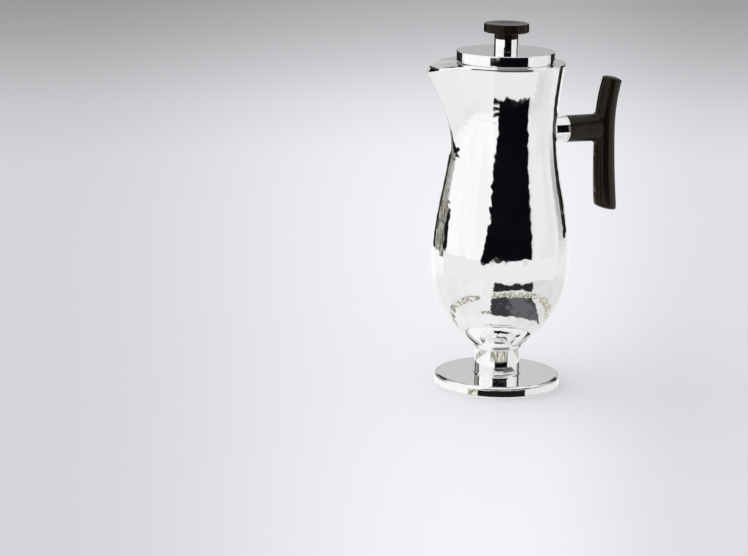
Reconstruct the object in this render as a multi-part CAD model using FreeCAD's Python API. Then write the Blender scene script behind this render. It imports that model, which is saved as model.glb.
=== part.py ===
import FreeCAD, Part

import math
import os

# Silver coffee pot, in millimetres. The origin is the centre of the foot's underside, Z is up,
# the wooden handle points along +X and the pouring lip along -X.
# The feature that takes the most skill is the raised body: one skin whose round section is drawn
# out towards the rim into a keeled pouring lip.

# Sheet metal
body_wall = 1.1
foot_sheet = 1.3
deck_thickness = 1.4
tube_wall = 1.2
lid_sheet = 1.3

# Foot
foot_radius = 43.2
foot_height = 7.9
foot_top_round = 2.4
foot_open_radius = 12.0
base_thickness = 1.4
base_round = 1.0

# Pedestal
stem_radius = 15.8
stem_top = 30.0
stem_flare = 1.1
collar_bottom = 26.2
collar_height = 2.8
collar_swell = 0.9

# Body outline, as radius and height at the places where it turns
bottom_flat_radius = 6.0
bottom_z = 22.0
bottom_reach = 11.6
bottom_rise = 6.0
belly_radius = 47.4
belly_z = 89.4
belly_fullness_below = 42.6
belly_fullness_above = 35.5
waist_radius = 36.3
waist_z = 183.0
waist_fullness_below = 40.1
waist_fullness_above = 12.0
rim_radius = 40.3
rim_z = 222.6
rim_flare = 0.9
rim_fullness = 7.3

# Pouring lip
lip_start_z = 155.0
lip_reach = 19.2
lip_growth = 1.75
lip_nose = 0.05
lip_open_length = 7.6
lip_fall = 2.0
lip_droop = 1.9

# Lid seat in the deck
seat_radius = 29.4
seat_depth = 8.5
lid_clearance = 0.3

# Lid
lid_overhang = 3.7
lid_height = 7.4
lid_edge_round = 0.5
lid_foot_round = 0.6
flange_wall = 1.2
flange_depth = 7.5

# Knob and its fixing
knob_stem_radius = 8.05
knob_stem_height = 8.3
knob_neck_height = 4.3
knob_radius = 15.25
knob_thickness = 6.0
knob_dish = 1.0
knob_dish_flat = 3.0
knob_rim_width = 1.6
knob_edge_round = 0.7
stud_radius = 2.0
stud_grip = 7.0
stud_tail = 1.2
fit_clearance = 0.05
washer_radius = 6.0
washer_thickness = 0.8
nut_across_flats = 7.0
nut_height = 3.2

# Handle
handle_z = 176.2
socket_radius = 8.5
socket_length = 10.0
socket_lip = 0.45
socket_lip_length = 1.2
arm_height_at_socket = 18.2
arm_width_at_socket = 18.0
arm_height_at_grip = 19.2
arm_width_at_grip = 12.6
tenon_gap = 1.0
pin_radius = 1.1
pin_distance = 5.9
arm_length = 29.6
grip_above = 33.5
grip_below = 55.6
grip_lean_top = 4.7
grip_lean_bottom = 2.6
grip_width_top = 13.6
grip_width_middle = 14.4
grip_width_bottom = 15.8
grip_end_slope = 14.0
grip_joint_round = 3.0

# Numbers of sections and points for the drawn-out skin
rows_per_curve = 4
points_per_half = 16
crowding = 1.7

UP = FreeCAD.Vector(0, 0, 1)
ORIGIN = FreeCAD.Vector(0, 0, 0)

deck_top = rim_z + deck_thickness
lid_radius = seat_radius + lid_overhang
lid_top = deck_top + lid_height
knob_neck_bottom = lid_top + knob_stem_height
knob_disc_bottom = knob_neck_bottom + knob_neck_height
knob_top = knob_disc_bottom + knob_thickness
socket_end_x = waist_radius + socket_length
pin_x = waist_radius + pin_distance
grip_x = socket_end_x + arm_length


def vec(x, y, z):
    return FreeCAD.Vector(x, y, z)


def save(name, shape):
    """Write one piece to its own file and print its volume."""
    solids = shape.Solids
    if not shape.isValid() or len(solids) != 1:
        raise RuntimeError(f"{name} is not one sound solid: {len(solids)}")
    solids[0].exportStep(f"parts/{name}.step")
    print(f"{name}: {solids[0].Volume:.1f} mm3")


def revolved(edges):
    """Turn a closed outline in the XZ plane about the pot's axis."""
    wire = Part.Wire(Part.sortEdges(edges)[0])
    return Part.Face(wire).revolve(ORIGIN, UP, 360)


def polyline(points):
    """Straight edges round a closed outline of (radius, height) points."""
    corners = [vec(r, 0, z) for r, z in points]
    return [Part.makeLine(a, b) for a, b in zip(corners, corners[1:] + corners[:1])]


def arc(start, middle, end):
    """An arc through three (radius, height) points."""
    a, b, c = (vec(r, 0, z) for r, z in (start, middle, end))
    return Part.Arc(a, b, c).toShape()


def line(start, end):
    return Part.makeLine(vec(start[0], 0, start[1]), vec(end[0], 0, end[1]))


def corner(centre, radius, angle):
    """Point at an angle in degrees on a rounded corner of an outline."""
    turn = math.radians(angle)
    return (centre[0] + radius * math.cos(turn), centre[1] + radius * math.sin(turn))


def tube(outer, inner, bottom, top):
    """A plain ring or tube standing on the pot's axis."""
    height = top - bottom
    outside = Part.makeCylinder(outer, height, vec(0, 0, bottom), UP)
    return outside.cut(Part.makeCylinder(inner, height, vec(0, 0, bottom), UP))


# Body skin
def body_curves():
    """The outline's three curves: bottom to belly, belly to waist, waist to rim."""
    belly = (belly_radius, belly_z)
    waist = (waist_radius, waist_z)
    bottom = (bottom_flat_radius, bottom_z)
    rim = (rim_radius, rim_z)
    return [
        [bottom, (bottom_flat_radius + bottom_reach, bottom_z + bottom_rise),
         (belly_radius, belly_z - belly_fullness_below), belly],
        [belly, (belly_radius, belly_z + belly_fullness_above),
         (waist_radius, waist_z - waist_fullness_below), waist],
        [waist, (waist_radius, waist_z + waist_fullness_above),
         (rim_radius - rim_flare, rim_z - rim_fullness), rim],
    ]


def bezier(curve, t):
    """Point and outward normal on one curve of the outline."""
    s = 1 - t
    weights = (s ** 3, 3 * t * s * s, 3 * t * t * s, t ** 3)
    point = [sum(w * p[k] for w, p in zip(weights, curve)) for k in (0, 1)]
    slopes = (s * s, 2 * t * s, t * t)
    run = [sum(w * (b[k] - a[k]) for w, a, b in zip(slopes, curve, curve[1:])) for k in (0, 1)]
    length = math.hypot(*run)
    return point, (run[1] / length, -run[0] / length)


def lip_at(z):
    """How far the lip's keel stands out of the round body at a height."""
    share = max(0.0, z - lip_start_z) / (rim_z - lip_start_z)
    return lip_reach * share ** lip_growth


def section(radius, keel, inset, z):
    """Closed section: a circle whose two tangents meet in a rounded nose on the -X side."""
    nose = lip_nose if keel > 0 else 0.0
    spread = math.acos(radius / (radius + keel)) + nose
    flank = radius - inset
    angles = [math.pi * (k / points_per_half) ** crowding for k in range(points_per_half + 1)]
    turns = [-a for a in reversed(angles[1:])] + angles[:-1]
    points = []
    for turn in turns:
        reach = flank / math.cos(max(0.0, spread - math.hypot(turn, nose)))
        points.append(vec(-reach * math.cos(turn), reach * math.sin(turn), z))
    curve = Part.BSplineCurve()
    curve.interpolate(points, PeriodicFlag=True)
    return Part.Wire(curve.toShape())


def body_skin(inset):
    """Solid inside the body's outer skin, or inside its bore when inset by the wall."""
    wires = []
    for curve in body_curves():
        for row in range(rows_per_curve):
            (radius, z), (nr, nz) = bezier(curve, row / rows_per_curve)
            keel = lip_at(z)
            wires.append(section(radius - inset * nr + inset, keel, inset, z - inset * nz))
    wires.append(section(rim_radius, lip_at(rim_z), inset, rim_z + inset))
    return Part.makeLoft(wires, True, False)


def lip_line():
    """Rim past the round body, as distances from the axis and heights: deck's end, then lip's tip."""
    keel = rim_radius + lip_reach
    recede = (lip_fall + lip_droop) * lip_reach * lip_growth / (rim_z - lip_start_z)
    return (keel - lip_open_length, rim_z - lip_fall), (keel - recede, rim_z - lip_fall - lip_droop)


def across(points):
    """Upright outline of (distance towards the lip, height) points, drawn out across the pot."""
    width = 2 * rim_radius
    corners = [vec(-d, -width, z) for d, z in points]
    return Part.Face(Part.makePolygon(corners + corners[:1])).extrude(vec(0, 2 * width, 0))


def make_body(outer):
    """The raised body: its skin, bore, flat rim and falling lip."""
    body = outer.cut(body_skin(body_wall))
    (end, end_z), (tip, tip_z) = lip_line()
    far = rim_radius + 2 * lip_reach
    far_z = end_z - (end_z - tip_z) * (far - end) / (tip - end)
    above = rim_z + lip_reach
    cutter = across([(rim_radius, rim_z), (end, end_z), (far, far_z), (far, above), (rim_radius, above)])
    return body.cut(cutter)


def make_deck():
    """Plate on the rim with the lid's opening, falling towards the lip and short of its nose."""
    (end, end_z), _ = lip_line()
    up = deck_thickness
    slab = across([(-2 * rim_radius, rim_z), (rim_radius, rim_z), (end, end_z), (end, end_z + up),
                   (rim_radius, rim_z + up), (-2 * rim_radius, rim_z + up)])
    outline = section(rim_radius, lip_at((rim_z + end_z) / 2), 0.0, end_z)
    plate = Part.Face(outline).extrude(vec(0, 0, lip_fall + up)).common(slab)
    return plate.cut(Part.makeCylinder(seat_radius, up, vec(0, 0, rim_z), UP)).removeSplitter()


# Foot and pedestal
def make_foot_plate():
    """Shallow cap: flat top with a turned-over edge and a short wall down to the base plate."""
    r, top, turn = foot_radius, foot_height, foot_top_round
    bend = (r - turn, top - turn)
    inner = turn - foot_sheet
    low = base_thickness
    edges = [
        line((foot_open_radius, top), (r - turn, top)),
        arc((r - turn, top), corner(bend, turn, 45), (r, top - turn)),
        line((r, top - turn), (r, low)),
        line((r, low), (r - foot_sheet, low)),
        line((r - foot_sheet, low), (r - foot_sheet, top - turn)),
        arc((r - foot_sheet, top - turn), corner(bend, inner, 45), (r - turn, top - foot_sheet)),
        line((r - turn, top - foot_sheet), (foot_open_radius, top - foot_sheet)),
        line((foot_open_radius, top - foot_sheet), (foot_open_radius, top)),
    ]
    return revolved(edges)


def make_base_plate():
    """Flat plate that closes the foot from below, and that the pot stands on."""
    r, turn = foot_radius, base_round
    bend = (r - turn, turn)
    edges = [
        line((0, base_thickness), (r, base_thickness)),
        line((r, base_thickness), (r, turn)),
        arc((r, turn), corner(bend, turn, -45), (r - turn, 0)),
        line((r - turn, 0), (0, 0)),
        line((0, 0), (0, base_thickness)),
    ]
    return revolved(edges)


def make_stem(outer):
    """Tube between foot and body, flared a little where it meets the foot."""
    r, low = stem_radius, foot_height
    bend = (r + stem_flare, low + stem_flare)
    edges = [
        line((r - tube_wall, low), (r + stem_flare, low)),
        arc((r + stem_flare, low), corner(bend, stem_flare, 225), (r, low + stem_flare)),
        line((r, low + stem_flare), (r, stem_top)),
        line((r, stem_top), (r - tube_wall, stem_top)),
        line((r - tube_wall, stem_top), (r - tube_wall, low)),
    ]
    return revolved(edges).cut(outer)


def make_collar(outer):
    """Bead that covers the joint between the stem and the body."""
    low = collar_bottom
    high = low + collar_height
    swell = (stem_radius + collar_swell, (low + high) / 2)
    edges = [
        line((stem_radius, high), (stem_radius, low)),
        arc((stem_radius, low), swell, (stem_radius, high)),
    ]
    return revolved(edges).cut(outer)


# Handle
def along_x(edges):
    """Turn an outline of (distance, height) about the handle's own axis."""
    wire = Part.Wire(Part.sortEdges(edges)[0])
    face = Part.Face(wire)
    return face.revolve(vec(0, 0, handle_z), vec(1, 0, 0), 360)


def pin_hole(radius):
    """The pin's own cylinder, across the socket."""
    reach = socket_radius + socket_lip
    return Part.makeCylinder(radius, 2 * reach, vec(pin_x, -reach, handle_z), vec(0, 1, 0))


def make_socket(outer):
    """Tube on the body's wall that takes the handle's tenon, with a thin lip at its end."""
    start = waist_radius - tube_wall
    lip_x = socket_end_x - socket_lip_length
    inner = handle_z + socket_radius - tube_wall
    side = handle_z + socket_radius
    edges = polyline([
        (start, inner), (start, side), (lip_x, side), (lip_x, side + socket_lip),
        (socket_end_x, side + socket_lip), (socket_end_x, inner),
    ])
    return along_x(edges).cut(outer).cut(pin_hole(pin_radius))


def make_pin():
    """Rivet across the socket and the tenon, dressed flush with the socket."""
    barrel = Part.makeCylinder(socket_radius, 2 * socket_radius,
                               vec(pin_x - socket_radius, 0, handle_z), vec(1, 0, 0))
    return pin_hole(pin_radius).common(barrel)


def grip_section(x, z, width, slope):
    """Section of the grip, square to a centre line that leans by a slope in degrees."""
    lean = math.radians(slope)
    circle = Part.Circle(vec(x, 0, z), vec(math.sin(lean), 0, math.cos(lean)), width / 2)
    return Part.Wire(circle.toShape())


def grip_line(z):
    """X of the grip's centre line at a height, bowed outward at both ends."""
    up = z - handle_z
    if up > 0:
        return grip_x + grip_lean_top * (up / grip_above) ** 2
    return grip_x + grip_lean_bottom * (up / grip_below) ** 2


def grip_width(z):
    """Diameter of the grip at a height."""
    up = z - handle_z
    if up > 0:
        return grip_width_middle + (grip_width_top - grip_width_middle) * up / grip_above
    return grip_width_middle + (grip_width_middle - grip_width_bottom) * up / grip_below


def grip_slope(z):
    """Lean of the grip's centre line at a height, in degrees."""
    up = z - handle_z
    lean, length = (grip_lean_top, grip_above) if up > 0 else (grip_lean_bottom, grip_below)
    return math.degrees(math.atan(2 * lean * up / length ** 2))


def arm_section(x, height, width):
    """Upright oval across the handle's arm."""
    centre = vec(x, 0, handle_z)
    oval = Part.Ellipse(centre + vec(0, 0, height / 2), centre + vec(0, width / 2, 0), centre)
    return Part.Wire(oval.toShape())


def end_cut(z, side):
    """Block that cuts the grip's end on a plane that falls outward; side is 1 above, -1 below."""
    size = grip_above + grip_below
    block = Part.makeBox(2 * size, 2 * size, size, vec(-size, -size, 0 if side > 0 else -size))
    block.rotate(ORIGIN, vec(0, 1, 0), grip_end_slope)
    block.translate(vec(grip_line(z), 0, z))
    return block


def make_handle(outer):
    """Wooden T: a tenon in the socket, a round arm and a bowed grip across its end."""
    top = handle_z + grip_above
    bottom = handle_z - grip_below
    margin = grip_width_bottom
    span = top - bottom + 2 * margin
    steps = 2 * rows_per_curve + 2
    heights = [bottom - margin + span * k / steps for k in range(steps + 1)]
    grip = Part.makeLoft([grip_section(grip_line(z), z, grip_width(z), grip_slope(z))
                          for z in heights], True, False)
    arm = Part.makeLoft([arm_section(socket_end_x, arm_height_at_socket, arm_width_at_socket),
                         arm_section(grip_x, arm_height_at_grip, arm_width_at_grip)], True, True)
    wood = grip.fuse(arm)
    seam = [e for e in wood.Edges if e.BoundBox.XMin > socket_end_x + grip_joint_round
            and e.BoundBox.ZMax < top and e.BoundBox.ZMin > bottom and e.Length > grip_width_middle]
    wood = wood.makeFillet(grip_joint_round, seam)
    wood = wood.cut(end_cut(top, 1)).cut(end_cut(bottom, -1))
    tenon_start = waist_radius + tenon_gap
    tenon = Part.makeCylinder(socket_radius - tube_wall - fit_clearance, socket_end_x - tenon_start,
                              vec(tenon_start, 0, handle_z), vec(1, 0, 0))
    return wood.fuse(tenon).cut(outer).cut(pin_hole(pin_radius)).removeSplitter()


# Lid and knob
def make_lid_plate():
    """Flat top of the lid, with a softened edge and the stud's hole."""
    r, top, turn = lid_radius, lid_top, lid_edge_round
    bend = (r - turn, top - turn)
    hole = stud_radius + fit_clearance
    edges = [
        line((hole, top), (r - turn, top)),
        arc((r - turn, top), corner(bend, turn, 45), (r, top - turn)),
        line((r, top - turn), (r, top - lid_sheet)),
        line((r, top - lid_sheet), (hole, top - lid_sheet)),
        line((hole, top - lid_sheet), (hole, top)),
    ]
    return revolved(edges)


def make_lid_wall():
    """Ring under the lid's top, rounded at its lower edge, that rests on the deck."""
    r, low, turn = lid_radius, deck_top, lid_foot_round
    bend = (r - turn, low + turn)
    high = lid_top - lid_sheet
    inner = r - tube_wall
    edges = [
        line((inner, high), (r, high)),
        line((r, high), (r, low + turn)),
        arc((r, low + turn), corner(bend, turn, -45), (r - turn, low)),
        line((r - turn, low), (inner, low)),
        line((inner, low), (inner, high)),
    ]
    return revolved(edges)


def make_knob_stem():
    """Short silver tube between the lid and the wooden knob."""
    return tube(knob_stem_radius, knob_stem_radius - tube_wall, lid_top, knob_neck_bottom)


def make_knob():
    """Turned wooden knob: a neck as thick as its stem and a dished disc."""
    r, turn = knob_radius, knob_edge_round
    low, high = knob_disc_bottom, knob_top
    hole = stud_radius + fit_clearance
    hole_top = knob_neck_bottom + stud_grip
    lower = (r - turn, low + turn)
    upper = (r - turn, high - turn)
    dish = r - knob_rim_width
    sag = high - knob_dish
    bowl = ((dish - knob_dish_flat) ** 2 + knob_dish ** 2) / (2 * knob_dish)
    half = math.degrees(math.asin((dish - knob_dish_flat) / bowl)) / 2
    edges = [
        line((hole, hole_top), (hole, knob_neck_bottom)),
        line((hole, knob_neck_bottom), (knob_stem_radius, knob_neck_bottom)),
        line((knob_stem_radius, knob_neck_bottom), (knob_stem_radius, low)),
        line((knob_stem_radius, low), (r - turn, low)),
        arc((r - turn, low), corner(lower, turn, -45), (r, low + turn)),
        line((r, low + turn), (r, high - turn)),
        arc((r, high - turn), corner(upper, turn, 45), (r - turn, high)),
        line((r - turn, high), (dish, high)),
        arc((dish, high), corner((knob_dish_flat, sag + bowl), bowl, half - 90), (knob_dish_flat, sag)),
        line((knob_dish_flat, sag), (0, sag)),
        line((0, sag), (0, hole_top)),
        line((0, hole_top), (hole, hole_top)),
    ]
    return revolved(edges)


def make_stud():
    """Rod that draws the knob and its stem down on the lid."""
    washer_bottom = lid_top - lid_sheet - washer_thickness
    low = washer_bottom - nut_height - stud_tail
    return Part.makeCylinder(stud_radius, knob_neck_bottom + stud_grip - low, vec(0, 0, low), UP)


def make_washer():
    under = lid_top - lid_sheet
    return tube(washer_radius, stud_radius + fit_clearance, under - washer_thickness, under)


def make_nut():
    """Hexagon nut under the lid's washer."""
    top = lid_top - lid_sheet - washer_thickness
    point = nut_across_flats / math.sqrt(3)
    corners = [vec(point * math.cos(math.radians(60 * k)), point * math.sin(math.radians(60 * k)),
                   top - nut_height) for k in range(7)]
    hexagon = Part.Face(Part.makePolygon(corners)).extrude(vec(0, 0, nut_height))
    return hexagon.cut(Part.makeCylinder(stud_radius + fit_clearance, nut_height,
                                         vec(0, 0, top - nut_height), UP))


def main():
    os.makedirs("parts", exist_ok=True)
    outer = body_skin(0.0)
    flange_radius = seat_radius - lid_clearance
    save("body", make_body(outer))
    save("top_deck", make_deck())
    save("lid_seat", tube(seat_radius + tube_wall, seat_radius, rim_z - seat_depth, rim_z))
    save("foot_plate", make_foot_plate())
    save("foot_base_plate", make_base_plate())
    save("pedestal_stem", make_stem(outer))
    save("pedestal_collar", make_collar(outer))
    save("handle_socket", make_socket(outer))
    save("handle_pin", make_pin())
    save("handle_grip", make_handle(outer))
    save("lid_plate", make_lid_plate())
    save("lid_wall", make_lid_wall())
    save("lid_flange", tube(flange_radius, flange_radius - flange_wall, deck_top - flange_depth,
                            lid_top - lid_sheet))
    save("knob_stem", make_knob_stem())
    save("knob", make_knob())
    save("knob_stud", make_stud())
    save("knob_washer", make_washer())
    save("knob_nut", make_nut())


main()
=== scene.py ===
"""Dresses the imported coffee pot: hammered silver body, polished silver fittings and dark wood."""

import logging
import math
from dataclasses import dataclass, field
from enum import Enum
from typing import Sequence

import bmesh
import bpy
import numpy as np
from mathutils import Matrix, Vector


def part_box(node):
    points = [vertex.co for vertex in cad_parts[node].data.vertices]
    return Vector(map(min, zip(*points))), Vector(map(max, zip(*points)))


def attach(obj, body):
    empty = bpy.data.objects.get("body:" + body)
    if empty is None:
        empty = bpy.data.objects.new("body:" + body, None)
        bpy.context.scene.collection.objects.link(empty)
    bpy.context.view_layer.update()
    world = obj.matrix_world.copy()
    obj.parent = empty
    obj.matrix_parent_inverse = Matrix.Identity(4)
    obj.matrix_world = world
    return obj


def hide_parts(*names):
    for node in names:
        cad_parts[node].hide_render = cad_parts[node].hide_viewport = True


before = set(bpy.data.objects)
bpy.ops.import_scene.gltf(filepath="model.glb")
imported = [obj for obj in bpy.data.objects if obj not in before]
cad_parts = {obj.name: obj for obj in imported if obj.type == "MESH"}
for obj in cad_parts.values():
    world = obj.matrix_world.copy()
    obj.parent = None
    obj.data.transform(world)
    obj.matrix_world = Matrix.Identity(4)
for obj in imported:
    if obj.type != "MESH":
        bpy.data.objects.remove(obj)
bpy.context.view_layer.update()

MM = 0.001
HOLD_SHARE = 0.6
SHARP_ANGLE = math.radians(38)

Pair = tuple[float, float]
Triple = tuple[float, float, float]
BLACK = (0.0025, 0.0025, 0.004)
log = logging.getLogger("coffee_pot")


class Body(Enum):
    """Bodies of the frame that a piece can ride on."""

    POT = "pot"
    LID = "lid"


class Slot(Enum):
    """Material slots of the record."""

    HAMMERED = "hammered_silver"
    POLISHED = "polished_silver"
    WOOD = "dark_wood"


# Meshes


def node_box(node: str) -> tuple[np.ndarray, np.ndarray]:
    """A node's lowest and highest corners, in millimetres."""
    low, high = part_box(node)
    return np.array(low) / MM, np.array(high) / MM


def add_piece(name: str, mesh: bpy.types.Mesh) -> bpy.types.Object:
    """Put a mesh in the scene as a piece at the origin.

    Args:
        name: Name of the piece.
        mesh: Its mesh.

    Returns:
        The piece.
    """
    piece = bpy.data.objects.new(name, mesh)
    bpy.context.scene.collection.objects.link(piece)
    return piece


def circle(count: int) -> np.ndarray:
    """Evenly spaced angles of a full turn."""
    return np.linspace(0, 2 * math.pi, count, endpoint=False)


def eased(share: float | np.ndarray) -> float | np.ndarray:
    """A share from 0 to 1, slowed at both its ends."""
    return share * share * (3 - 2 * share)


def ringed(
    name: str, rings: np.ndarray, ends: tuple[np.ndarray, np.ndarray] | None = None
) -> bpy.types.Object:
    """Skin a stack of closed rings.

    Args:
        name: Name of the piece.
        rings: Points in millimetres, indexed by ring and by place round the ring.
        ends: Pole points that close the first and the last ring; without them the last ring
            runs on to the first.

    Returns:
        The piece, shaded smooth, with its faces pointing outwards.
    """
    rows, columns = rings.shape[:2]
    points = rings.reshape(-1, 3)
    last_row = rows - 1 if ends else rows
    row, column = np.meshgrid(np.arange(last_row), np.arange(columns), indexing="ij")
    below, above = row * columns, (row + 1) % rows * columns
    beside = (column + 1) % columns
    quads = np.stack([below + column, below + beside, above + beside, above + column], axis=-1)
    faces = quads.reshape(-1, 4).tolist()
    if ends:
        points = np.vstack([points, ends[0], ends[1]])
        first, last = rows * columns, rows * columns + 1
        top = (rows - 1) * columns
        for k in range(columns):
            after = (k + 1) % columns
            faces.append([first, after, k])
            faces.append([last, top + k, top + after])
    mesh = bpy.data.meshes.new(name)
    mesh.from_pydata((points * MM).tolist(), [], faces)
    shell = bmesh.new()
    shell.from_mesh(mesh)
    bmesh.ops.recalc_face_normals(shell, faces=shell.faces)
    shell.to_mesh(mesh)
    shell.free()
    mesh.shade_smooth()
    mesh.set_sharp_from_angle(angle=SHARP_ANGLE)
    return add_piece(name, mesh)


def rounded(corners: Sequence[Triple], closed: bool = True, steps: int = 6) -> np.ndarray:
    """Turn an outline's corners to their radii.

    Args:
        corners: Distance from the axis, height and rounding of each corner, in millimetres.
        closed: Whether the last corner runs on to the first.
        steps: Segments in each rounding.

    Returns:
        Points of the outline, with a holding point on each side of a rounding so that the
        faces beside it stay flat.
    """
    points: list[np.ndarray] = []
    for k, (across, up, turn) in enumerate(corners):
        here = np.array((across, up))
        is_end = not closed and k in (0, len(corners) - 1)
        if turn == 0 or is_end:
            points.append(here)
            continue
        back = np.array(corners[k - 1][:2]) - here
        ahead = np.array(corners[(k + 1) % len(corners)][:2]) - here
        back /= np.linalg.norm(back)
        ahead /= np.linalg.norm(ahead)
        half = 0.5 * math.acos(float(np.clip(back @ ahead, -1.0, 1.0)))
        run = turn / math.tan(half)
        inward = (back + ahead) / np.linalg.norm(back + ahead)
        centre = here + inward * turn / math.sin(half)
        start, stop = here + back * run, here + ahead * run
        begin = math.atan2(*(start - centre)[::-1])
        sweep = math.atan2(*(stop - centre)[::-1]) - begin
        sweep = (sweep + math.pi) % (2 * math.pi) - math.pi
        points.append(start + back * turn * HOLD_SHARE)
        for step in range(steps + 1):
            angle = begin + sweep * step / steps
            points.append(centre + turn * np.array((math.cos(angle), math.sin(angle))))
        points.append(stop + ahead * turn * HOLD_SHARE)
    return np.array(points)


def lathe(
    name: str, outline: np.ndarray, closed: bool = True, sides: int = 224
) -> bpy.types.Object:
    """Turn an outline about the pot's axis.

    Args:
        name: Name of the piece.
        outline: Distances from the axis and heights along it, in millimetres.
        closed: Whether the outline is a closed loop; otherwise both its ends lie on the axis.
        sides: Points round each ring.

    Returns:
        The turned piece.
    """
    angles = circle(sides)
    body = outline if closed else outline[1:-1]
    across, up = body[:, :1], body[:, 1:]
    rings = np.stack(
        [across * np.cos(angles), across * np.sin(angles), up + 0 * angles], axis=-1
    )
    ends = None
    if not closed:
        ends = (np.array((0, 0, outline[0, 1])), np.array((0, 0, outline[-1, 1])))
    return ringed(name, rings, ends)


def settle(piece: bpy.types.Object) -> None:
    """Turn a piece and its modifiers into one plain mesh.

    Args:
        piece: The piece.
    """
    graph = bpy.context.evaluated_depsgraph_get()
    mesh = bpy.data.meshes.new_from_object(piece.evaluated_get(graph))
    piece.modifiers.clear()
    rough, piece.data = piece.data, mesh
    bpy.data.meshes.remove(rough)
    mesh.name = piece.name


def dress(
    piece: bpy.types.Object,
    material: bpy.types.Material,
    body: Body,
    slot: Slot,
    *nodes: str,
) -> None:
    """Give a piece its finish and its place in the frame.

    Args:
        piece: The finished piece.
        material: Its finish.
        body: The body that it moves with.
        slot: The record's slot that its finish belongs to; not used.
        nodes: CAD nodes that it stands for.
    """
    piece.data.materials.clear()
    piece.data.materials.append(material)
    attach(piece, body.value)
    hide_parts(*nodes)
    log.info("%s: %d faces, for %s", piece.name, len(piece.data.polygons), ", ".join(nodes))


# Node trees


class Wiring:
    """Adds and links the nodes of one tree."""

    def __init__(self, tree: bpy.types.NodeTree) -> None:
        """Take the tree that is being built."""
        self.tree = tree

    def node(self, kind: str, **settings: object) -> bpy.types.Node:
        """Add a node.

        Args:
            kind: The node's type.
            settings: Properties of the node, or input sockets by name with spaces as underscores.

        Returns:
            The new node.
        """
        node = self.tree.nodes.new(kind)
        for name, value in settings.items():
            if hasattr(node, name):
                setattr(node, name, value)
            else:
                self.fill(node, **{name: value})
        return node

    def fill(self, node: bpy.types.Node, **inputs: object) -> None:
        """Link or set inputs of a node, named with spaces as underscores."""
        for name, source in inputs.items():
            self.feed(source, node.inputs[name.replace("_", " ")])

    def feed(self, source: object, socket: bpy.types.NodeSocket) -> None:
        """Link a socket to another, or set its value.

        Args:
            source: Socket or plain value.
            socket: The input that takes it.
        """
        if isinstance(source, bpy.types.NodeSocket):
            self.tree.links.new(source, socket)
        else:
            socket.default_value = source

    def math(self, operation: str, *terms: object) -> bpy.types.NodeSocket:
        """Work out a number from sockets and numbers.

        Args:
            operation: Name of the Math node's operation.
            terms: Its inputs in order.

        Returns:
            The result's socket.
        """
        node = self.tree.nodes.new("ShaderNodeMath")
        node.operation = operation
        for socket, term in zip(node.inputs, terms):
            self.feed(term, socket)
        return node.outputs[0]

    def vector(self, operation: str, *terms: object, output: str = "Vector") -> bpy.types.NodeSocket:
        """Work out a vector, or a number from vectors.

        Args:
            operation: Name of the Vector Math node's operation.
            terms: Its inputs in order; a plain number goes to its scale.
            output: The output wanted.

        Returns:
            The result's socket.
        """
        node = self.tree.nodes.new("ShaderNodeVectorMath")
        node.operation = operation
        vectors = [socket for socket in node.inputs if socket.type == "VECTOR"]
        for term in terms:
            is_number = isinstance(term, float) or getattr(term, "type", "") == "VALUE"
            self.feed(term, node.inputs["Scale"] if is_number else vectors.pop(0))
        return node.outputs[output]

    def dot(self, first: object, second: object) -> bpy.types.NodeSocket:
        """Work out the dot product of two vectors."""
        return self.vector("DOT_PRODUCT", first, second, output="Value")

    def sized(self, place: object, size: object) -> bpy.types.NodeSocket:
        """Count coordinates in units of a size."""
        return self.vector("SCALE", place, self.math("DIVIDE", 1.0, size))

    def span(self, value: object, low: float, high: float, start: float = 0.0,
             stop: float = 1.0) -> bpy.types.NodeSocket:
        """Map a range of a value on another, eased between its ends and held beyond them.

        Args:
            value: Socket to map.
            low: Value that gives start.
            high: Value that gives stop.
            start: Result at and below low.
            stop: Result at and above high.

        Returns:
            The mapped socket.
        """
        node = self.node("ShaderNodeMapRange", interpolation_type="SMOOTHSTEP", From_Min=low,
                         From_Max=high, To_Min=start, To_Max=stop)
        self.feed(value, node.inputs["Value"])
        return node.outputs["Result"]

    def blend(self, share: object, first: object, second: object) -> bpy.types.NodeSocket:
        """Mix two colours.

        Args:
            share: Share of the second colour, from 0 to 1.
            first: Colour at 0.
            second: Colour at 1.

        Returns:
            The mixed colour's socket.
        """
        node = self.node("ShaderNodeMix", data_type="RGBA")
        for socket, source in zip((node.inputs[0], node.inputs[6], node.inputs[7]),
                                  (share, first, second)):
            self.feed(source, socket)
        return node.outputs[2]


def new_group(name: str, kind: str, inputs: dict[str, tuple[str, object]],
              outputs: dict[str, str]) -> tuple[Wiring, bpy.types.Node, bpy.types.Node]:
    """Start a node group with named sockets.

    Args:
        name: The group's name.
        kind: The type of its tree.
        inputs: Socket type and default of each input, None for no default.
        outputs: Socket type of each output.

    Returns:
        The group's wiring, its input node and its output node.
    """
    tree = bpy.data.node_groups.new(name, kind)
    for label, (socket_kind, default) in inputs.items():
        socket = tree.interface.new_socket(label, in_out="INPUT", socket_type=socket_kind)
        if default is not None:
            socket.default_value = default
    for label, socket_kind in outputs.items():
        tree.interface.new_socket(label, in_out="OUTPUT", socket_type=socket_kind)
    wiring = Wiring(tree)
    return wiring, wiring.node("NodeGroupInput"), wiring.node("NodeGroupOutput")


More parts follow.
